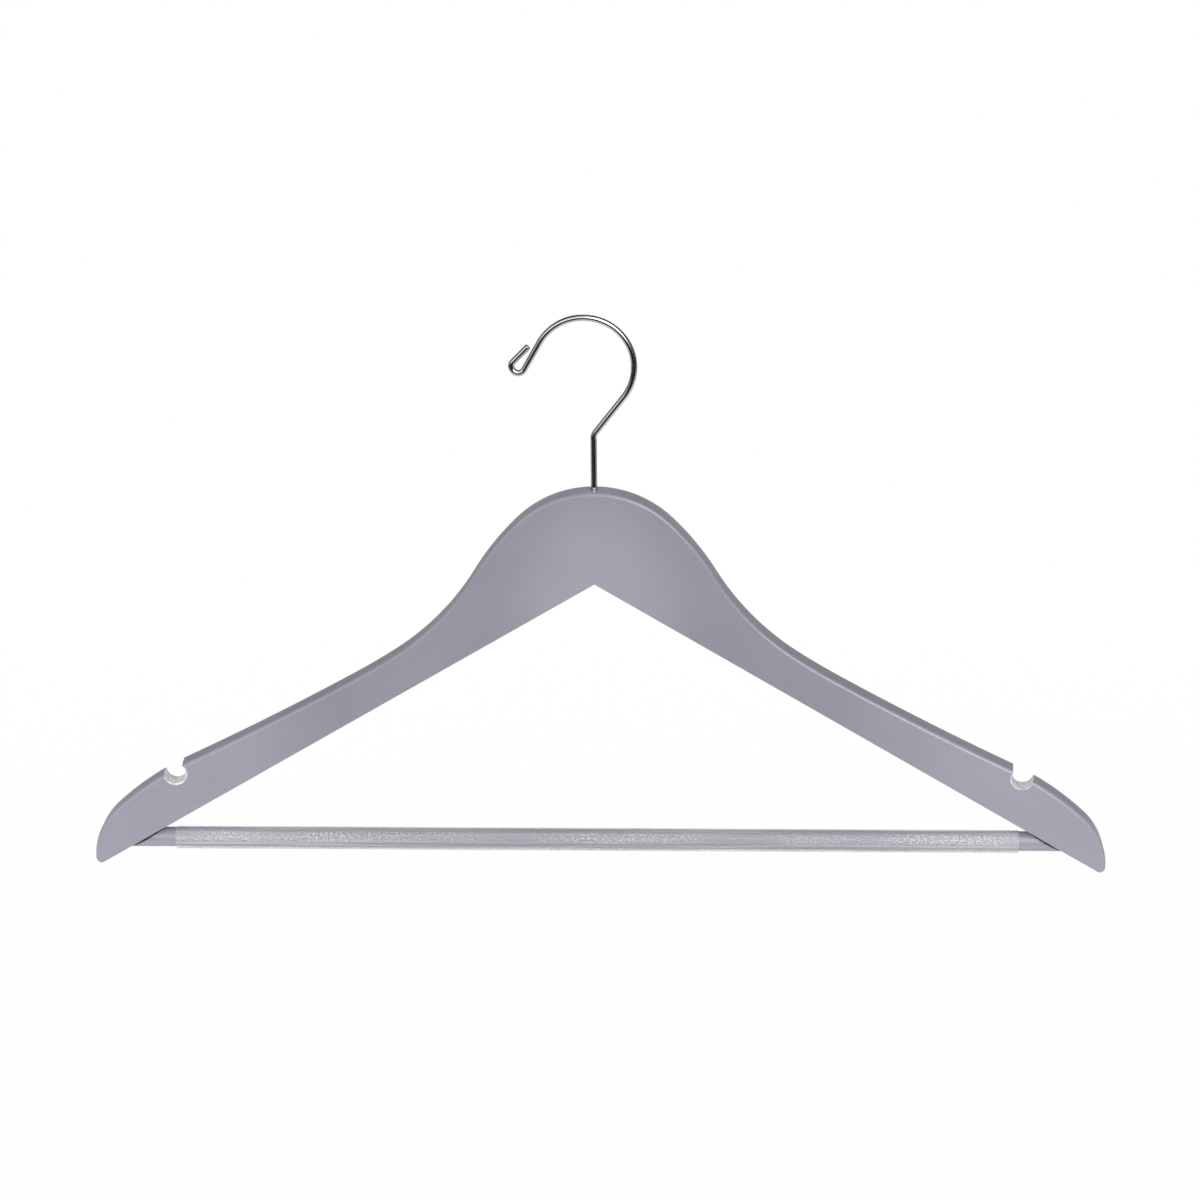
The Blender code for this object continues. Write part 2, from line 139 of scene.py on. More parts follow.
# Cuts the given tools out of a piece; what a tool leaves bare takes the tool's material slot.
def cutAway(piece, tools):
    for tool in tools:
        cut = piece.modifiers.new(tool.name, "BOOLEAN")
        cut.operation = "DIFFERENCE"
        cut.solver = "EXACT"
        cut.object = tool
    bpy.context.view_layer.update()
    evaluated = piece.evaluated_get(bpy.context.evaluated_depsgraph_get())
    done = bpy.data.meshes.new_from_object(evaluated)
    piece.modifiers.clear()
    old = piece.data
    piece.data = done
    bpy.data.meshes.remove(old)
    for tool in tools:
        bpy.data.objects.remove(tool)


def newFinish(name):
    finish = bpy.data.materials.new(name)
    finish.use_nodes = True
    return finish, finish.node_tree, finish.node_tree.nodes["Principled BSDF"]


def addNode(tree, kind, **values):
    node = tree.nodes.new(kind)
    for key, value in values.items():
        setattr(node, key, value)
    return node


# Gives a socket another node's output, or a plain value.
def feed(tree, socket, value):
    if isinstance(value, bpy.types.NodeSocket):
        tree.links.new(value, socket)
    elif socket.type == "RGBA":
        socket.default_value = (*value, 1)
    else:
        socket.default_value = value


def linked(tree, node, **inputs):
    for key, value in inputs.items():
        feed(tree, node.inputs[key.replace("_", " ")], value)
    return node


def objectPlace(tree):
    return addNode(tree, "ShaderNodeTexCoord").outputs["Object"]


def splitUp(tree, vector):
    parts = addNode(tree, "ShaderNodeSeparateXYZ")
    feed(tree, parts.inputs[0], vector)
    return [parts.outputs[axis] for axis in "XYZ"]


def mapped(tree, source, scale=(1, 1, 1), rotation=(0, 0, 0)):
    node = addNode(tree, "ShaderNodeMapping")
    linked(tree, node, Vector=source, Scale=scale, Rotation=rotation)
    return node.outputs["Vector"]


def noiseOf(tree, source, scale, detail=3.0, roughness=0.5):
    node = addNode(tree, "ShaderNodeTexNoise")
    linked(tree, node, Vector=source, Scale=scale, Detail=detail, Roughness=roughness)
    return node.outputs["Fac"]


def ranged(tree, source, fromLow, fromHigh, toLow, toHigh):
    node = addNode(tree, "ShaderNodeMapRange")
    linked(tree, node, Value=source, From_Min=fromLow, From_Max=fromHigh)
    linked(tree, node, To_Min=toLow, To_Max=toHigh)
    return node.outputs["Result"]


def calculated(tree, operation, first, second=0.0):
    node = addNode(tree, "ShaderNodeMath", operation=operation)
    for socket, value in zip(node.inputs, (first, second)):
        feed(tree, socket, value)
    return node.outputs["Value"]


def product(tree, first, second):
    return calculated(tree, "MULTIPLY", first, second)


def difference(tree, first, second):
    return calculated(tree, "SUBTRACT", first, second)


def larger(tree, first, second):
    return calculated(tree, "MAXIMUM", first, second)


# The mix node keeps its sockets by number: first the share, then a pair for each kind of data.
def mixedColours(tree, share, first, second):
    node = addNode(tree, "ShaderNodeMix", data_type="RGBA")
    for index, value in ((0, share), (6, first), (7, second)):
        feed(tree, node.inputs[index], value)
    return node.outputs[2]


def mixedValue(tree, share, first, second):
    node = addNode(tree, "ShaderNodeMix", data_type="FLOAT")
    for index, value in ((0, share), (2, first), (3, second)):
        feed(tree, node.inputs[index], value)
    return node.outputs[0]


def bumped(tree, height, strength, distance, below=None):
    node = addNode(tree, "ShaderNodeBump")
    linked(tree, node, Height=height, Strength=strength, Distance=distance)
    if below is not None:
        feed(tree, node.inputs["Normal"], below)
    return node.outputs["Normal"]


def fromGlueLine(tree, x):
    return calculated(tree, "ABSOLUTE", difference(tree, x, wood["middle"] * mm))


# Coordinates along and across the grain of both arms: the distance from the glue line takes the
# place of X, so that both sides match, and all is then turned by the arms' slope.
def grainCoordinates(tree, place):
    x, y, z = splitUp(tree, place)
    joined = addNode(tree, "ShaderNodeCombineXYZ")
    linked(tree, joined, X=fromGlueLine(tree, x), Y=y, Z=z)
    turn = (0, -math.radians(lacquer["grainSlope"]), 0)
    return mapped(tree, joined.outputs["Vector"], rotation=turn)


lacquer = {
    "colour": (0.356, 0.344, 0.412),
    "paleColour": (0.374, 0.362, 0.430),
    "deepColour": (0.330, 0.318, 0.386),
    "grainSlope": 29.0,
    "streakScale": (14, 260, 420),
    "poreScale": (60, 900, 1500),
    "roughness": (0.30, 0.38),
    "coat": 0.5,
    "coatRoughness": 0.10,
    "peel": 0.22,
    "grain": 0.07,
    # painted shade under the arms' lower edges, on the bar
    "contactShadeColour": (0.035, 0.032, 0.036),
    "contactShadeWidth": 1.25,
    "contactShadeUneven": 0.12,
}


# Painted shade on the bar along both arms, in place of the shadow under the arms' lower edges: it
# covers what lies less than its width under the plane of the arms' underside; its lower edge is
# ragged.
def paintedContactShade(tree, place):
    slope = math.radians(wood["undersideSlope"])
    side, _ = sideOutline()
    apex = wood["crown"] + side[-1, 1]
    x, _, z = splitUp(tree, place)
    drop = product(tree, fromGlueLine(tree, x), math.tan(slope))
    plane = difference(tree, apex * mm, drop)
    below = product(tree, difference(tree, plane, z), math.cos(slope))
    uneven = lacquer["contactShadeUneven"] * mm
    stray = ranged(tree, noiseOf(tree, place, 900, 2), 0.3, 0.7, -uneven, uneven)
    ragged = calculated(tree, "ADD", below, stray)
    width = lacquer["contactShadeWidth"] * mm
    return ranged(tree, ragged, width * 0.8, width * 1.1, 1, 0)


# Satin paint with slow clouds of tone, faint streaks of the grain under it and a fine peel. On the
# straight bar the grain follows the bar, and a painted shade line lies where the bar passes under
# the arms.
def lacquerFinish(name, straight=False):
    finish, tree, shader = newFinish(name)
    place = objectPlace(tree)
    lengthwise = place if straight else grainCoordinates(tree, place)
    cloud = noiseOf(tree, place, 22, 2)
    streak = noiseOf(tree, mapped(tree, lengthwise, lacquer["streakScale"]), 1, 4, 0.6)
    pores = noiseOf(tree, mapped(tree, lengthwise, lacquer["poreScale"]), 1, 2, 0.5)
    peel = noiseOf(tree, place, 650, 2)
    paler = ranged(tree, cloud, 0.35, 0.65, 0, 1)
    base = mixedColours(tree, paler, lacquer["colour"], lacquer["paleColour"])
    deeper = ranged(tree, streak, 0.45, 0.75, 0, 0.18)
    base = mixedColours(tree, deeper, base, lacquer["deepColour"])
    if straight:
        # painted shade where the bar passes under the arms
        base = mixedColours(tree, paintedContactShade(tree, place), base, lacquer["contactShadeColour"])
    relief = bumped(tree, peel, lacquer["peel"], 0.00012)
    relief = bumped(tree, streak, lacquer["grain"], 0.00010, relief)
    relief = bumped(tree, pores, lacquer["grain"] * 0.6, 0.00005, relief)
    roughness = ranged(tree, cloud, 0.3, 0.7, *lacquer["roughness"])
    linked(tree, shader, Base_Color=base, Roughness=roughness, Normal=relief)
    linked(tree, shader, Coat_Weight=lacquer["coat"], Coat_Roughness=lacquer["coatRoughness"])
    return finish


bareWood = {
    "fibreColours": ((0.58, 0.545, 0.575), (0.84, 0.80, 0.83)),
    "fillerColour": (0.95, 0.93, 0.95),
    "roughness": 0.62,
}


# Bare sawn wood with stray white filler, seen inside the strap notches.
def bareWoodFinish():
    finish, tree, shader = newFinish("bareWood")
    place = objectPlace(tree)
    fibre = noiseOf(tree, mapped(tree, place, (700, 160, 700)), 1, 4, 0.65)
    blotch = noiseOf(tree, place, 420, 3, 0.6)
    base = mixedColours(tree, ranged(tree, fibre, 0.3, 0.7, 0, 1), *bareWood["fibreColours"])
    filler = ranged(tree, blotch, 0.50, 0.58, 0, 1)
    base = mixedColours(tree, filler, base, bareWood["fillerColour"])
    relief = bumped(tree, fibre, 0.5, 0.0003)
    relief = bumped(tree, blotch, 0.6, 0.0005, relief)
    linked(tree, shader, Base_Color=base, Roughness=bareWood["roughness"], Normal=relief)
    return finish


# near-black colours: painted shade inside the bore
paintedShadeBoreWood = {"colours": ((0.030, 0.026, 0.025), (0.10, 0.088, 0.082)), "roughness": 0.8}


# Painted shade: near-black wood inside the hook's bore and the pocket under it, in place of the
# shade in the hole.
def paintedShadeBoreFinish():
    finish, tree, shader = newFinish("paintedShadeBoreWood")
    fibre = noiseOf(tree, mapped(tree, objectPlace(tree), (900, 900, 200)), 1, 3, 0.6)
    base = mixedColours(tree, ranged(tree, fibre, 0.3, 0.7, 0, 1), *paintedShadeBoreWood["colours"])
    relief = bumped(tree, fibre, 0.5, 0.0003)
    linked(tree, shader, Base_Color=base, Roughness=paintedShadeBoreWood["roughness"], Normal=relief)
    return finish


chrome = {"colours": ((0.66, 0.655, 0.65), (0.76, 0.755, 0.75)), "roughness": (0.08, 0.16)}


# Plated wire, with fine lines drawn out along it.
def chromeFinish():
    finish, tree, shader = newFinish("hookChrome")
    lay = addNode(tree, "ShaderNodeUVMap", uv_map="lay").outputs["UV"]
    drawn = noiseOf(tree, mapped(tree, lay, (0.06, 30, 1)), 1, 3, 0.6)
    cloud = noiseOf(tree, objectPlace(tree), 140, 2)
    base = mixedColours(tree, ranged(tree, cloud, 0.3, 0.7, 0, 1), *chrome["colours"])
    roughness = ranged(tree, drawn, 0.3, 0.7, *chrome["roughness"])
    linked(tree, shader, Base_Color=base, Roughness=roughness, Metallic=1.0)
    linked(tree, shader, Normal=bumped(tree, drawn, 0.05, 0.00001))
    return finish


# Thin clear vinyl: mostly see-through, with whitish flecks drawn out along the tube. The flecks lie
# thickest a little above its middle and along its lowest line: painted highlight and bright fringe.
def vinylFinish():
    finish, tree, shader = newFinish("sleeveVinyl")
    place = objectPlace(tree)
    lay = addNode(tree, "ShaderNodeUVMap", uv_map="lay").outputs["UV"]
    x, _, z = splitUp(tree, place)
    centre, direction, _ = barLine()
    rise = product(tree, difference(tree, x, centre[0] * mm), direction[2])
    height = difference(tree, difference(tree, z, centre[2] * mm), rise)
    starts, ends, lowEnds = (
        np.array(sleeve[key]) * mm for key in ("highlightBandStarts", "highlightBandEnds", "brightFringeEnds")
    )
    # painted highlight band, and painted bright fringe along the lowest line
    started = ranged(tree, height, *starts, 0.12, 1)
    above = product(tree, started, ranged(tree, height, *ends, 1, 0.1))
    paintedHighlightBand = larger(tree, above, ranged(tree, height, *lowEnds, 1, 0))
    rows = sleeve["fleckRows"]
    fleck = noiseOf(tree, mapped(tree, lay, (0.9, rows, 1)), 1, 2, 0.6)
    line = noiseOf(tree, mapped(tree, lay, (0.012, rows * 0.7, 1)), 1, 1, 0.5)
    slow = noiseOf(tree, mapped(tree, place, (24, 60, 60)), 1, 3)
    patchy = ranged(tree, slow, 0.35, 0.60, 0.45, 1)
    flecks = product(tree, ranged(tree, fleck, 0.42, 0.62, 0, 1), patchy)
    lines = ranged(tree, line, 0.46, 0.60, 0, 0.42)
    share = larger(tree, product(tree, flecks, paintedHighlightBand), lines)
    base = mixedColours(tree, share, sleeve["colour"], sleeve["fleckColour"])
    cover = ranged(tree, share, 0, 1, *sleeve["cover"])
    roughness = ranged(tree, slow, 0.35, 0.65, *sleeve["roughness"])
    linked(tree, shader, Base_Color=base, Alpha=cover, Roughness=roughness, IOR=1.7)
    linked(tree, shader, Normal=bumped(tree, fleck, 0.5, 0.0002))
    return finish


def steelFinish(name, colour, roughness):
    finish, tree, shader = newFinish(name)
    place = objectPlace(tree)
    scratch = noiseOf(tree, mapped(tree, place, (900, 900, 2600)), 1, 3, 0.6)
    cloud = noiseOf(tree, place, 500, 2)
    dull = tuple(value * 0.8 for value in colour)
    base = mixedColours(tree, ranged(tree, cloud, 0.35, 0.65, 0, 1), colour, dull)
    worn = ranged(tree, scratch, 0.3, 0.7, roughness, roughness + 0.15)
    linked(tree, shader, Base_Color=base, Roughness=worn, Metallic=1.0)
    linked(tree, shader, Normal=bumped(tree, scratch, 0.2, 0.00004))
    return finish


wood = {
    "thickness": 12.0,
    "middle": 3.9,
    "crown": -73.33,
    # upper edge from the crown to the tip: radius, and the slopes where the arc starts and ends
    "upperEdge": (
        (47.4, 0, 44.1), (120.5, 44.1, 58.65), (116.5, 58.65, 33.4), (312, 33.4, 29.5),
        (1384, 29.5, 26), (130, 26, 43.4), (30.7, 43.4, 90),
    ),
    "tipUpright": 0.4,
    "tipCorner": 2.3,
    "undersideSlope": 30.8,
    "topRound": 1.8,
    "lowRound": 0.8,
    "faceLoop": 0.3,
    "step": 0.7,
    "smoothAngle": 32,
}

# The wooden body's materials, in the order in which its mesh holds them.
# the last slot holds the bore's painted shade
lacquerSlot, bareSlot, boreShadeSlot = 0, 1, 2


# One side of the outline from the crown round the tip to the apex, and the rim's radius along it:
# the full radius on top, eased to the smaller one while the tip's lower corner turns.
def sideOutline():
    moves = [(radius, start - end) for radius, start, end in wood["upperEdge"]]
    moves += [(0, wood["tipUpright"]), (wood["tipCorner"], -90 - wood["undersideSlope"])]
    stretches = tracePath((0, 0), 0, moves, wood["step"])
    heelX, heelZ = stretches[-1][-1]
    slope = math.radians(wood["undersideSlope"])
    length = heelX / math.cos(slope)
    share = np.linspace(0, 1, math.ceil(length / wood["step"] / 2) + 1)[1:, None]
    toApex = np.array([-math.cos(slope), math.sin(slope)])
    under = np.array([heelX, heelZ]) + share * length * toApex
    ease = np.linspace(0, 1, len(stretches[-1]))
    ease = ease * ease * (3 - 2 * ease)
    above = sum(len(part) for part in stretches[:-1])
    rim = np.concatenate([
        np.full(above, wood["topRound"]),
        wood["topRound"] + (wood["lowRound"] - wood["topRound"]) * ease,
        np.full(len(under), wood["lowRound"]),
    ])
    return np.concatenate(stretches + [under]), rim


# The rim is a quarter circle carried along the outline on both faces: at an angle from the side
# face, a point moves inwards by the radius less the radius times its cosine, and outwards by the
# radius times its sine. Inward moves are square to the outline, and at corners they are divided by
# the cosine of half the turn. One more loop on each face, a little further in, keeps the face's
# shading flat.
def bodyMesh():
    side, rim = sideOutline()
    outline = np.concatenate([side, side[-2:0:-1] * [-1, 1]])
    rim = np.concatenate([rim, rim[-2:0:-1]])
    outline = outline + [wood["middle"], wood["crown"]]
    ahead = np.roll(outline, -1, 0) - outline
    ahead /= np.linalg.norm(ahead, axis=1)[:, None]
    behind = np.roll(ahead, 1, 0)
    tangent = ahead + behind
    tangent /= np.linalg.norm(tangent, axis=1)[:, None]
    inward = np.stack([tangent[:, 1], -tangent[:, 0]], -1)
    inward /= np.sqrt((1 + np.sum(ahead * behind, 1)) / 2)[:, None]
    half = wood["thickness"] / 2
    angle = np.linspace(0, np.pi / 2, 9)
    inset = np.concatenate([1 - np.cos(angle), [1.0]])[:, None] * rim
    inset[-1] += wood["faceLoop"]
    outward = half - rim + np.concatenate([np.sin(angle), [1.0]])[:, None] * rim
    flat = np.linspace(1, -1, 5)[1:-1, None]
    insets = np.concatenate([inset[::-1], np.zeros((len(flat), len(rim))), inset])
    depths = np.concatenate([outward[::-1], flat * (half - rim), -outward])
    flatPlace = outline[None] + insets[..., None] * inward[None]
    return gridMesh("woodenBody", np.stack([flatPlace[..., 0], depths, flatPlace[..., 1]], -1))


notches = {
    "left": dict(side=-1, fromTip=36.8, depth=7.7, radius=4.7, wall=3.3, eased=0.7),
    "right": dict(side=1, fromTip=37.0, depth=7.05, radius=4.7, wall=4.1, eased=0.35),
    "slant": 5.0,
    "lean": 5.0,
    "cornerRound": 1.1,
    "lipRound": 1.0,
    # how far the lip's guide point and its end lie beyond the pocket, in lip radii
    "lipReach": (0.55, 1.6),
    # how far the tool starts beside and above the wood, and how high its two ends stand
    "toolMargin": (0.4, 0.6),
    "toolEnds": (12, 16),
}


# A bend with three guide points: each of its points is their mean, weighted by the square of the
# rest of the way, twice the way times the rest, and the square of the way.
def bendThrough(first, corner, last):
    share = np.linspace(0, 1, 9)[:, None]
    return (1 - share) ** 2 * first + 2 * share * (1 - share) * corner + share**2 * last


# A notch's outline on the +X side: in over the rounded corner, down the upright wall, round the
# pocket and out over the rounded lip. Also tells which of its points belong to the bare pocket.
def notchOutline(notch):
    side, _ = sideOutline()
    top = side[: int(np.argmax(side[:, 0]))]

    # the point of the upper edge at x
    def onTop(x):
        return np.array([x, np.interp(x, top[:, 0], top[:, 1])])

    radius, wall = notch["radius"], notch["wall"]
    reach = side[:, 0].max() - notch["fromTip"]
    centreZ = onTop(reach)[1] - notch["depth"] + radius
    turn = math.degrees(math.acos(wall / radius))
    foot = centreZ + radius * math.sin(math.radians(turn))
    corner = onTop(reach - wall)
    inner = onTop(reach - wall - notches["cornerRound"])
    bend = bendThrough(inner, corner, corner - [0, notches["cornerRound"]])
    moves = [(radius, 180 + turn)]
    pocket = np.concatenate(tracePath((corner[0], foot), 270 - turn, moves, 0.3))
    rise = pocket[:, 1] - np.interp(pocket[:, 0], top[:, 0], top[:, 1])
    beyond = pocket[:, 0] > reach
    pocket = pocket[~(beyond & (rise > -notches["lipRound"]))]
    lip, lipEnd = (
        onTop(pocket[-1, 0] + factor * notches["lipRound"]) for factor in notches["lipReach"]
    )
    outer = bendThrough(pocket[-1], lip, lipEnd)
    aside, over = notches["toolMargin"]
    innerTop, outerTop = notches["toolEnds"]
    points = np.concatenate([
        [inner + [-aside, innerTop], inner + [-aside, over]], bend, pocket, outer[1:],
        [lipEnd + [aside, over], lipEnd + [aside, outerTop]],
    ])
    # paint reaches a few points into the pocket at both ends
    order = np.arange(len(points))
    bare = (order >= len(bend) + 4) & (order < len(points) - 6)
    return points, bare


# The outline is carried through the thickness at a slant, rising towards the front. Near both
# faces it widens by a quarter circle, which eases the notch's edges.
def notchTool(name, notch, slotCount):
    points, bare = notchOutline(notch)
    ahead = np.roll(points, -1, 0) - np.roll(points, 1, 0)
    ahead /= np.linalg.norm(ahead, axis=1)[:, None]
    outward = np.stack([ahead[:, 1], -ahead[:, 0]], -1)
    half, eased = wood["thickness"] / 2, notch["eased"]
    angle = np.linspace(0, np.pi / 2, 6)
    near = half - eased + eased * np.sin(angle)
    widen = eased * (1 - np.cos(angle))
    depths = np.concatenate([[half + 1], near[::-1], [0], -near, [-half - 1]])
    widths = np.concatenate([[eased], widen[::-1], [0], widen, [eased]])
    flat = points[None] + widths[:, None, None] * outward[None]
    slant = math.tan(math.radians(notches["slant"]))
    x = wood["middle"] + notch["side"] * (flat[..., 0] + slant * depths[:, None])
    depth = np.broadcast_to(depths[:, None], x.shape)
    lift = math.tan(math.radians(notches["lean"])) * (half - depth)
    grid = np.stack([x, depth, wood["crown"] + flat[..., 1] + lift], -1)
    grid = grid if notch["side"] > 0 else grid[:, ::-1]
    bare = bare if notch["side"] > 0 else bare[::-1]
    tool = cuttingTool(gridMesh(name, grid[:, ::-1]), slotCount, lacquerSlot)
    slots = np.full(len(tool.data.polygons), lacquerSlot, np.int32)
    columns = np.tile(np.where(bare[::-1], bareSlot, lacquerSlot), len(depths) - 1)
    slots[: len(columns)] = columns
    tool.data.polygons.foreach_set("material_index", slots)
    return tool


bar = {
    "radius": 4.35,
    "tilt": 0.26,
    "sideGap": 0.3,
    "endBevel": 0.5,
    "bradFromEnd": 5.0,
}


# Middle, direction and half length of the bar, from the box of its solid.
def barLine():
    low, high = (np.array(corner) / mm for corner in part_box("trouser_bar"))
    tilt = math.radians(bar["tilt"])
    direction = np.array([math.cos(tilt), 0, math.sin(tilt)])
    return (low + high) / 2, direction, (high[0] - low[0]) / 2 / math.cos(tilt)


# Round holes: how far along each reaches, and its radius there. The brad's runs from inside the
# bar out through the back, where it widens for the head.
holes = {
    "bore": ((0, 1.65), (60, 1.65)),
    "boreOverlap": 0.2,
    "pocket": ((0, 3.8), (40, 3.8)),
    "socketLength": 60,
    "brad": ((-3.1, 0.9), (4.8, 0.9), (4.8, 1.4), (9, 1.4)),
}


# Everything that is cut out of the wooden body: the hook's bore with the pocket under it, both
# strap notches, and for each end of the bar a socket and a brad's hole.
def bodyTools(slotCount):
    gap = bar["sideGap"]
    middleX = wood["middle"]
    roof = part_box("hook_washer")[1].z / mm + gap
    boreFoot = (middleX, 0, roof - holes["boreOverlap"])
    bore = turnedMesh("boreTool", holes["bore"], boreFoot, (0, 0, 1), 48)
    pocket = turnedMesh("pocketTool", holes["pocket"], (middleX, 0, roof), (0, 0, -1), 48)
    tools = [cuttingTool(mesh, slotCount, boreShadeSlot) for mesh in (bore, pocket)]
    tools += [notchTool(key + "NotchTool", notches[key], slotCount) for key in ("left", "right")]
    centre, direction, half = barLine()
    radius = bar["radius"] + gap
    socketProfile = [(0, radius), (holes["socketLength"], radius)]
    for sign in (-1, 1):
        bottom = centre + direction * sign * (half + gap)
        socket = turnedMesh("socketTool", socketProfile, bottom, -sign * direction, 64)
        place = centre + direction * sign * (half - bar["bradFromEnd"])
        hole = turnedMesh("bradTool", holes["brad"], place, (0, 1, 0), 24)
        tools += [cuttingTool(mesh, slotCount, lacquerSlot) for mesh in (socket, hole)]
    return tools


def buildBody():
    mesh = bodyMesh()
    for finish in (lacquerFinish("woodLacquer"), bareWoodFinish(), paintedShadeBoreFinish()):
        mesh.materials.append(finish)
    piece = addPiece("woodenBody", mesh)
    cutAway(piece, bodyTools(len(mesh.materials)))
    smoothShade(piece.data, wood["smoothAngle"])
    return piece


hook = {
    "wire": 2.7,
    "insideRadius": 19.9,
    "neckAngle": 52.0,
    "endAngle": 150.5,
    "stemX": 3.9,
    "stemBend": 5.0,
    "stemCorner": 23.9,
    "eyeRun": 13.4,
    "eyeRadius": 2.9,
    "eyeTurn": 195.0,
    "eyeReturn": 9.3,
    "head": 5.2,
    "headHeight": 1.4,
    "headEdge": 0.15,
    "headChamfer": 0.25,
    # rings of the blunt cut end: how far past the line's end, and how much thinner
    "endRings": ((0.12, 0.05), (0.22, 0.2), (0.25, 0.45)),
    "step": 0.45,
    "sides": 40,
}


# The wire's middle line lies in the XZ plane; each ring is its point plus the radius times the
# cosine along the line's own normal and the sine along Y.
def buildHook():
    radius = hook["insideRadius"] + hook["wire"] / 2
    neck = math.radians(hook["neckAngle"])
    turn = 90 - hook["neckAngle"]
    bendRun = hook["stemBend"] * math.tan(math.radians(turn / 2))
    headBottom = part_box("hook")[0].z / mm
    foot = headBottom + hook["headHeight"]
    cornerZ = wood["crown"] + hook["stemCorner"]
    pastEnd, thinner = np.array(hook["endRings"]).T
    moves = [
        (0, cornerZ - bendRun - foot),
        (hook["stemBend"], -turn),
        (0, (radius * math.sin(neck) - hook["stemX"]) / math.cos(neck) - bendRun),
        (radius, hook["endAngle"] + turn),
        (0, hook["eyeRun"]),
        (hook["eyeRadius"], -hook["eyeTurn"]),
        (0, hook["eyeReturn"] - pastEnd[-1]),
    ]
    line = np.concatenate(tracePath((hook["stemX"], foot), 90, moves, hook["step"]))
    tangent = np.gradient(line, axis=0)
    tangent /= np.linalg.norm(tangent, axis=1)[:, None]
    wire, head, edge = hook["wire"] / 2, hook["head"] / 2, hook["headEdge"]
    headRings = [
        (headBottom, head - hook["headChamfer"]), (headBottom + edge, head), (foot - edge, head),
        (foot - 0.03, head - edge), (foot - 0.02, wire),
    ]
    headLine = [(hook["stemX"], height) for height, _ in headRings]
    headRadii = [ringRadius for _, ringRadius in headRings]
    endLine = line[-1] + tangent[-1] * pastEnd[:, None]
    centre = np.concatenate([headLine, line, endLine])
    headTangents = np.tile([0.0, 1.0], (len(headLine), 1))
    endTangents = np.tile(tangent[-1], (len(endLine), 1))
    tangents = np.concatenate([headTangents, tangent, endTangents])
    radii = np.concatenate([headRadii, np.full(len(line), wire), wire - thinner])
    around = np.linspace(0, 2 * np.pi, hook["sides"], endpoint=False)[None, :, None]
    normal = np.stack([-tangents[:, 1], np.zeros(len(tangents)), tangents[:, 0]], -1)
    middle = np.stack([centre[:, 0], np.zeros(len(centre)), centre[:, 1]], -1)
    swing = np.cos(around) * normal[:, None] + np.sin(around) * np.array([0, 1.0, 0])
    grid = middle[:, None] + radii[:, None, None] * swing
    run = np.concatenate([[0], np.cumsum(np.linalg.norm(np.diff(centre, axis=0), axis=1))])
    mesh = gridMesh("hookWire", grid, along=run, around=np.linspace(0, 1, hook["sides"] + 1))
    mesh.materials.append(chromeFinish())
    return addPiece("hookWire", mesh)


# A dowel turned about its own line, with a quarter circle at each end.
def buildBar():
    centre, direction, half = barLine()
    bevel, radius = bar["endBevel"], bar["radius"]
    angle = np.linspace(0, np.pi / 2, 5)
    endStations = -half + bevel * (1 - np.sin(angle))
    endRadii = radius - bevel * (1 - np.cos(angle))
    endRun = np.stack([endStations, endRadii], -1)[::-1]
    stations = np.linspace(-half + bevel, half - bevel, 60)[1:-1]
    straight = np.stack([stations, np.full(len(stations), radius)], -1)
    profile = np.concatenate([endRun, straight, (endRun * [-1, 1])[::-1]])
    mesh = turnedMesh("trouserBar", profile, centre, direction, 96)
    mesh.materials.append(lacquerFinish("barLacquer", True))
    return addPiece("trouserBar", mesh)


sleeve = {
    "bore": 4.65,
    "wall": 0.28,
    "rib": 0.12,
    "ribs": 48,
    "pointsPerRib": 8,
    "stations": 61,
    "endInset": 0.05,
    "wave": 0.05,
    "hang": 0.24,
    "smoothAngle": 60,
    "colour": (0.80, 0.78, 0.83),
    "fleckColour": (0.95, 0.93, 0.96),
    "fleckRows": 36,
    "cover": (0.10, 0.68),
    "roughness": (0.16, 0.30),
    # heights over the bar's middle between which the painted highlight band sets in and fades out,
    # and those between which the painted bright fringe along the lowest line fades out
    "highlightBandStarts": (-0.8, 0.6),
    "highlightBandEnds": (3.4, 4.2),
    "brightFringeEnds": (-4.2, -3.6),
}


# The outer wall's radius is the root plus the rib's height times a raised cosine of the angle,
# plus a slow wave along the tube; the inner wall is plain, and both join at the cut ends.
def buildSleeve():
    centre, direction, _ = barLine()
    low, high = (np.array(corner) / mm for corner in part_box("bar_sleeve"))
    half = (high[0] - low[0]) / 2 - sleeve["endInset"]
    middle = centre + direction * ((low[0] + high[0]) / 2 - centre[0]) - [0, 0, sleeve["hang"]]
    axis, first, second = squareTo(direction)
    count = sleeve["ribs"] * sleeve["pointsPerRib"]
    around = np.linspace(0, 2 * np.pi, count, endpoint=False)
    spoke = np.cos(around)[:, None] * first + np.sin(around)[:, None] * second
    stations = np.linspace(-half, half, sleeve["stations"])
    slowWave = np.sin(stations * 0.23)[:, None] * np.cos(around * 3)
    quickWave = np.sin(stations * 0.61 + 1)[:, None] * np.cos(around * 5 + 2)
    slow = sleeve["wave"] * (slowWave + quickWave) / 2
    rib = sleeve["rib"] * (0.5 + 0.5 * np.cos(around * sleeve["ribs"]))
    outer = sleeve["bore"] + sleeve["wall"] + rib[None] + slow - sleeve["wave"]
    inner = np.full(outer.shape, sleeve["bore"])
    radii = np.concatenate([outer, inner[::-1]])
    along = np.concatenate([stations, stations[::-1]])
    grid = middle + along[:, None, None] * axis + radii[..., None] * spoke[None]
    lay = np.linspace(0, 1, count + 1)
    mesh = gridMesh("barSleeve", grid[::-1], joinRows=True, along=along[::-1], around=lay)
    mesh.materials.append(vinylFinish())
    return addPiece("barSleeve", mesh, sleeve["smoothAngle"])


brad = {
    "shank": 0.6,
    "point": 0.18,
    "pointLength": 1.2,
    "head": 1.1,
    "headHeight": 0.6,
    "length": 8.5,
    "sunk": 0.3,
}


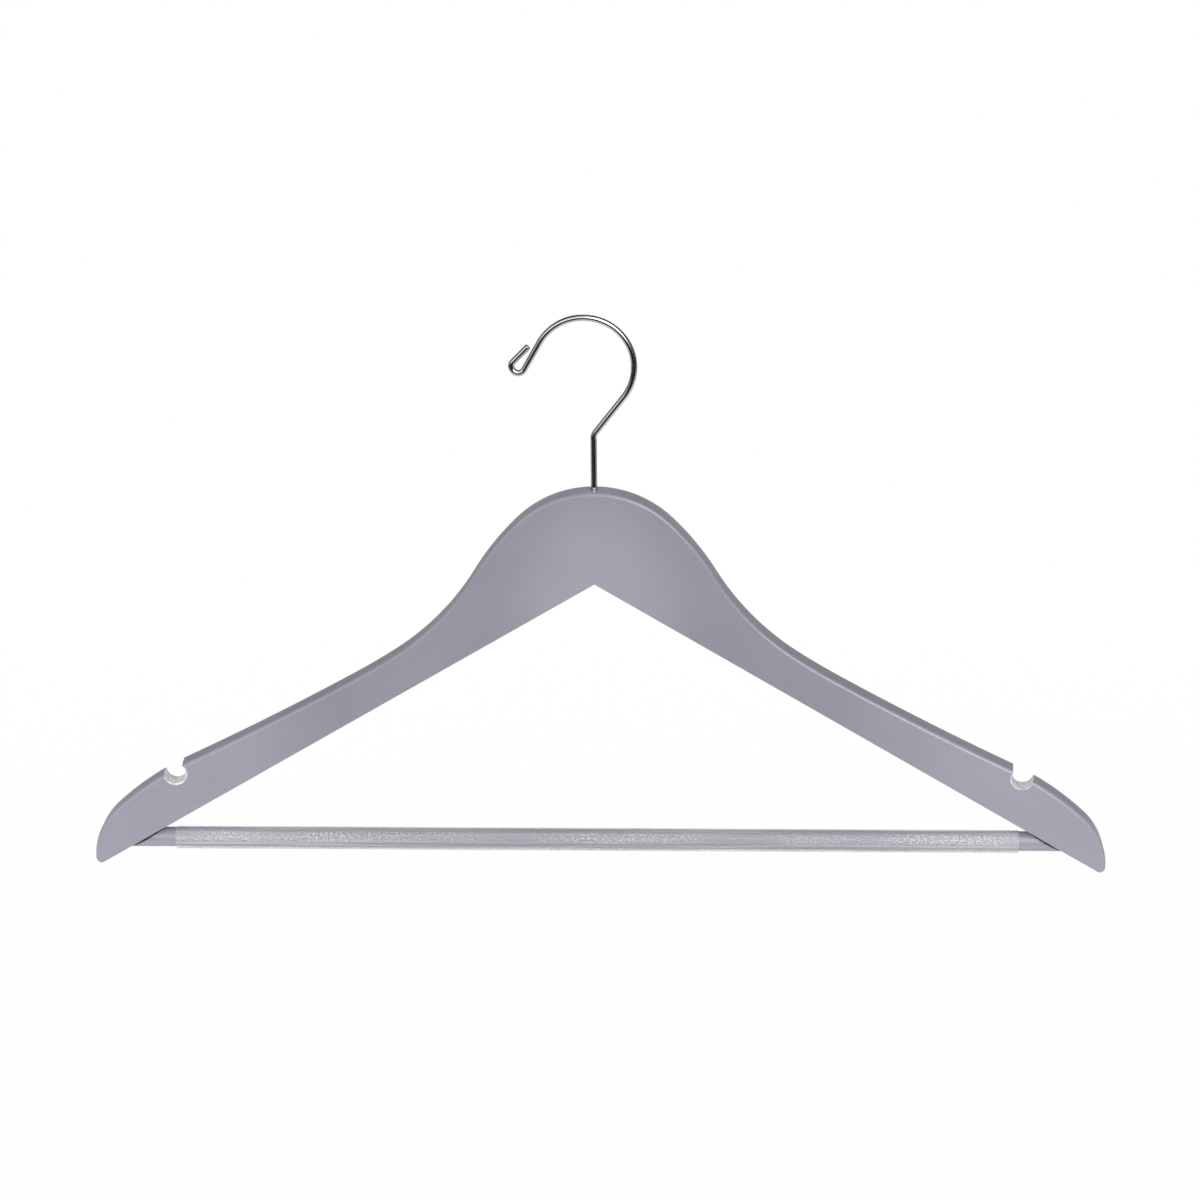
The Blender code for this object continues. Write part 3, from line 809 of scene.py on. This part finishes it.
# A nail turned about Y, from its point to the head that lies sunk in the back.
def buildBrad(name, sign, finish):
    centre, direction, half = barLine()
    place = centre + direction * sign * (half - bar["bradFromEnd"])
    face = wood["thickness"] / 2 - brad["sunk"]
    neck = face - brad["headHeight"]
    tip = face - brad["length"]
    shank, head = brad["shank"], brad["head"]
    profile = [
        (tip, brad["point"]), (tip + brad["pointLength"], shank), (neck - 0.02, shank),
        (neck, head - 0.12), (neck + 0.1, head), (face - 0.12, head), (face - 0.03, head - 0.08),
        (face, head - 0.25),
    ]
    mesh = turnedMesh(name, profile, place, (0, 1, 0), 32)
    mesh.materials.append(finish)
    return addPiece(name, mesh)


washerSize = {"outer": 3.5, "inner": 1.65, "edge": 0.12}


# A flat ring turned about the stem, with its edges cut off.
def buildWasher(finish):
    low, high = (corner.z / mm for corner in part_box("hook_washer"))
    outer, inner, edge = (washerSize[key] for key in ("outer", "inner", "edge"))
    profile = [
        (low + edge, outer), (high - edge, outer), (high, outer - edge), (high, inner + edge),
        (high - edge, inner), (low + edge, inner), (low, inner + edge), (low, outer - edge),
    ]
    mesh = turnedMesh("washerRing", profile, (wood["middle"], 0, 0), (0, 0, 1), 64, True)
    mesh.materials.append(finish)
    return addPiece("washerRing", mesh)


body = buildBody()
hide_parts("left_arm", "right_arm")
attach(body, "frame")
print("wooden body made", len(body.data.polygons))

hookWire = buildHook()
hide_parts("hook")
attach(hookWire, "hook")
print("hook made")

barPiece = buildBar()
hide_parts("trouser_bar")
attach(barPiece, "frame")
sleevePiece = buildSleeve()
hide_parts("bar_sleeve")
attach(sleevePiece, "frame")
print("bar and sleeve made")

steel = steelFinish("bradSteel", (0.62, 0.61, 0.60), 0.28)
for bradName, sign in (("bar_brad_left", -1), ("bar_brad_right", 1)):
    nail = buildBrad("brad" + bradName.split("_")[-1].capitalize(), sign, steel)
    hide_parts(bradName)
    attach(nail, "frame")
washer = buildWasher(steelFinish("washerZinc", (0.68, 0.68, 0.70), 0.32))
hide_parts("hook_washer")
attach(washer, "frame")
print("fittings made")


camera = {
    "lens": 100.0,
    "azimuth": 2.89,
    "elevation": 18.1,
    "roll": -0.54,
    "distance": 1433.6,
    "target": (5.97, 0.0, -122.92),
}


def placeCamera():
    angles = (math.radians(camera[key]) for key in ("azimuth", "elevation", "roll"))
    azimuth, elevation, roll = angles
    level = math.cos(elevation)
    back = Vector((math.sin(azimuth) * level, -math.cos(azimuth) * level, math.sin(elevation)))
    right = Vector((math.cos(azimuth), math.sin(azimuth), 0))
    up = back.cross(right)
    turnedRight = right * math.cos(roll) + up * math.sin(roll)
    turnedUp = up * math.cos(roll) - right * math.sin(roll)
    data = bpy.data.cameras.new("camera")
    data.lens = camera["lens"]
    data.sensor_width = 36.0
    data.clip_start = 0.01
    data.clip_end = 50.0
    holder = bpy.data.objects.new("camera", data)
    place = Matrix((turnedRight, turnedUp, back)).transposed().to_4x4()
    place.translation = (Vector(camera["target"]) + back * camera["distance"]) * mm
    holder.matrix_world = place
    bpy.context.scene.collection.objects.link(holder)
    bpy.context.scene.camera = holder


# Each lamp: direction from the target, distance and edge length in metres, and power in watts.
lampTarget = (0.004, 0, -0.17)
lamps = {
    "frontLeft": ((-0.52, -0.78, 0.27), 2.2, 1.0, 11.7),
    "frontRight": ((0.52, -0.73, 0.43), 2.2, 1.0, 10.8),
    "highRight": ((0.60, -0.33, 0.73), 1.5, 0.8, 1.0),
    "lowLeft": ((-0.70, -0.60, -0.38), 0.9, 0.5, 0.55),
    "lowRight": ((0.70, -0.60, -0.38), 0.9, 0.5, 0.55),
    "back": ((-0.2, 0.9, 0.35), 1.8, 1.2, 8.0),
}


# Soft round pools of light: where each falls, the direction to its lamp, and then the lamp's
# distance, the pool's radius and the power. The lamps are small, or the pools would smear.
spotLampRadius = 0.01
spots = {
    "humpPool": ((0.004, 0, -0.126), (0.10, -0.75, 0.66), 1.5, 0.042, 26.0),
    "leftPool": ((-0.20, 0, -0.215), (-0.25, -0.93, 0.25), 1.5, 0.112, 17.0),
    "rightPool": ((0.205, 0, -0.215), (0.25, -0.93, 0.25), 1.5, 0.116, 18.0),
}


def hangLamp(name, data, target, direction, distance):
    lamp = bpy.data.objects.new(name, data)
    toLamp = Vector(direction).normalized()
    lamp.location = Vector(target) + toLamp * distance
    lamp.rotation_mode = "QUATERNION"
    lamp.rotation_quaternion = toLamp.to_track_quat("Z", "Y")
    lamp.visible_glossy = False  # what polish mirrors comes from the room
    bpy.context.scene.collection.objects.link(lamp)


def placeLamps():
    for name, (direction, distance, edge, power) in lamps.items():
        data = bpy.data.lights.new(name, "AREA")
        data.shape = "SQUARE"
        data.size = edge
        data.energy = power
        hangLamp(name, data, lampTarget, direction, distance)
    for name, (target, direction, distance, radius, power) in spots.items():
        data = bpy.data.lights.new(name, "SPOT")
        data.spot_size = 2 * math.atan(radius / distance)
        data.spot_blend = 1.0
        data.shadow_soft_size = spotLampRadius
        data.energy = power
        hangLamp(name, data, target, direction, distance)


# A pair of strengths stands for a slow change: the fill's from below to above, those of the
# horizon, the high back and the floor from the middle outwards, the others from left to right.
room = {
    "fill": (0.34, 0.43),
    "mirroredFront": 0.03,
    "mirroredHorizon": (0.62, 0.20),
    "mirroredBackHigh": (0.22, 0.04),
    "mirroredSides": (0.22, 0.14),
    "mirroredWindow": (1.2, 5.6),
    # the window sets in going up, ends going back, brightens going right and ends on the right
    "windowUp": (0.02, 0.25),
    "windowBack": (-0.62, -0.34),
    "windowBrightens": (-0.05, 0.50),
    "windowRight": (0.56, 0.68),
    "floorHeight": -0.62,
    "floorAcross": 6.0,
    "floorBack": (-0.6, 9.0),
    "floorGlow": 0.97,
    "floorMirrored": (0.75, 0.30),
}


def seenByEye(tree, ray):
    return larger(tree, ray.outputs["Is Camera Ray"], ray.outputs["Is Transmission Ray"])


# The room is white to the eye. Polish mirrors another one: dark in front, but for a tall soft
# window high up that is brighter to the right, dim at both sides, and with a pale horizon under a
# dark ceiling behind the hanger. The fill is a little stronger from above than from below.
def buildRoom():
    world = bpy.data.worlds.new("room")
    bpy.context.scene.world = world
    world.use_nodes = True
    world.cycles.sampling_method = "NONE"
    tree = world.node_tree
    ray = addNode(tree, "ShaderNodeLightPath")
    x, y, z = splitUp(tree, addNode(tree, "ShaderNodeTexCoord").outputs["Generated"])
    aside = calculated(tree, "ABSOLUTE", x)
    horizon = ranged(tree, aside, 0.15, 0.35, *room["mirroredHorizon"])
    ceiling = ranged(tree, aside, 0.06, 0.20, *room["mirroredBackHigh"])
    behind = mixedValue(tree, ranged(tree, z, 0.04, 0.26, 1, 0), ceiling, horizon)
    behind = mixedValue(tree, ranged(tree, y, 0.0, 0.25, 0, 1), room["mirroredFront"], behind)
    sides = product(tree, ranged(tree, aside, 0.40, 0.75, 0, 1), ranged(tree, z, -0.12, 0.02, 0, 1))
    sides = product(tree, sides, ranged(tree, x, -0.2, 0.2, *room["mirroredSides"]))
    setIn = ranged(tree, z, *room["windowUp"], 0, 1)
    window = product(tree, setIn, ranged(tree, y, *room["windowBack"], 1, 0))
    brightness = ranged(tree, x, *room["windowBrightens"], *room["mirroredWindow"])
    window = product(tree, window, brightness)
    window = product(tree, window, ranged(tree, x, *room["windowRight"], 1, 0))
    mirrored = larger(tree, larger(tree, behind, sides), window)
    fill = ranged(tree, z, -0.3, 0.1, *room["fill"])
    strength = mixedValue(tree, ray.outputs["Is Glossy Ray"], fill, mirrored)
    strength = mixedValue(tree, seenByEye(tree, ray), strength, 1.0)
    linked(tree, tree.nodes["Background"], Color=(1, 1, 1), Strength=strength)


# A large pale floor. It glows white to the eye, a little less so close under the hanger, where its
# shadow shows, and it is grey to metal.
def buildFloor():
    height, across = room["floorHeight"], room["floorAcross"]
    near, far = room["floorBack"]
    outline = [(-across, near), (across, near), (across, far), (-across, far)]
    mesh = bpy.data.meshes.new("floor")
    mesh.from_pydata([(x, y, height) for x, y in outline], [], [(0, 1, 2, 3)])
    floor = bpy.data.objects.new("floor", mesh)
    bpy.context.scene.collection.objects.link(floor)
    finish, tree, shader = newFinish("floorWhite")
    place = objectPlace(tree)
    away = addNode(tree, "ShaderNodeVectorMath", operation="LENGTH")
    feed(tree, away.inputs[0], place)
    mottle = noiseOf(tree, place, 3, 2)
    base = mixedColours(tree, mottle, (0.92, 0.92, 0.92), (0.95, 0.95, 0.95))
    linked(tree, shader, Base_Color=base, Roughness=0.9)
    ray = addNode(tree, "ShaderNodeLightPath")
    byPolish = ray.outputs["Is Glossy Ray"]
    toEye = ranged(tree, away.outputs["Value"], 0.9, 1.6, room["floorGlow"], 1.0)
    toMetal = ranged(tree, away.outputs["Value"], 0.9, 2.4, *room["floorMirrored"])
    glow = addNode(tree, "ShaderNodeEmission")
    linked(tree, glow, Strength=mixedValue(tree, byPolish, 1.0, toMetal))
    share = larger(tree, product(tree, seenByEye(tree, ray), toEye), byPolish)
    mixer = addNode(tree, "ShaderNodeMixShader")
    for socket, source in zip(mixer.inputs, (share, shader.outputs[0], glow.outputs[0])):
        feed(tree, socket, source)
    feed(tree, tree.nodes["Material Output"].inputs["Surface"], mixer.outputs[0])
    mesh.materials.append(finish)


placeCamera()
placeLamps()
buildRoom()
buildFloor()
bpy.context.scene.view_settings.view_transform = "Standard"
print("studio ready")
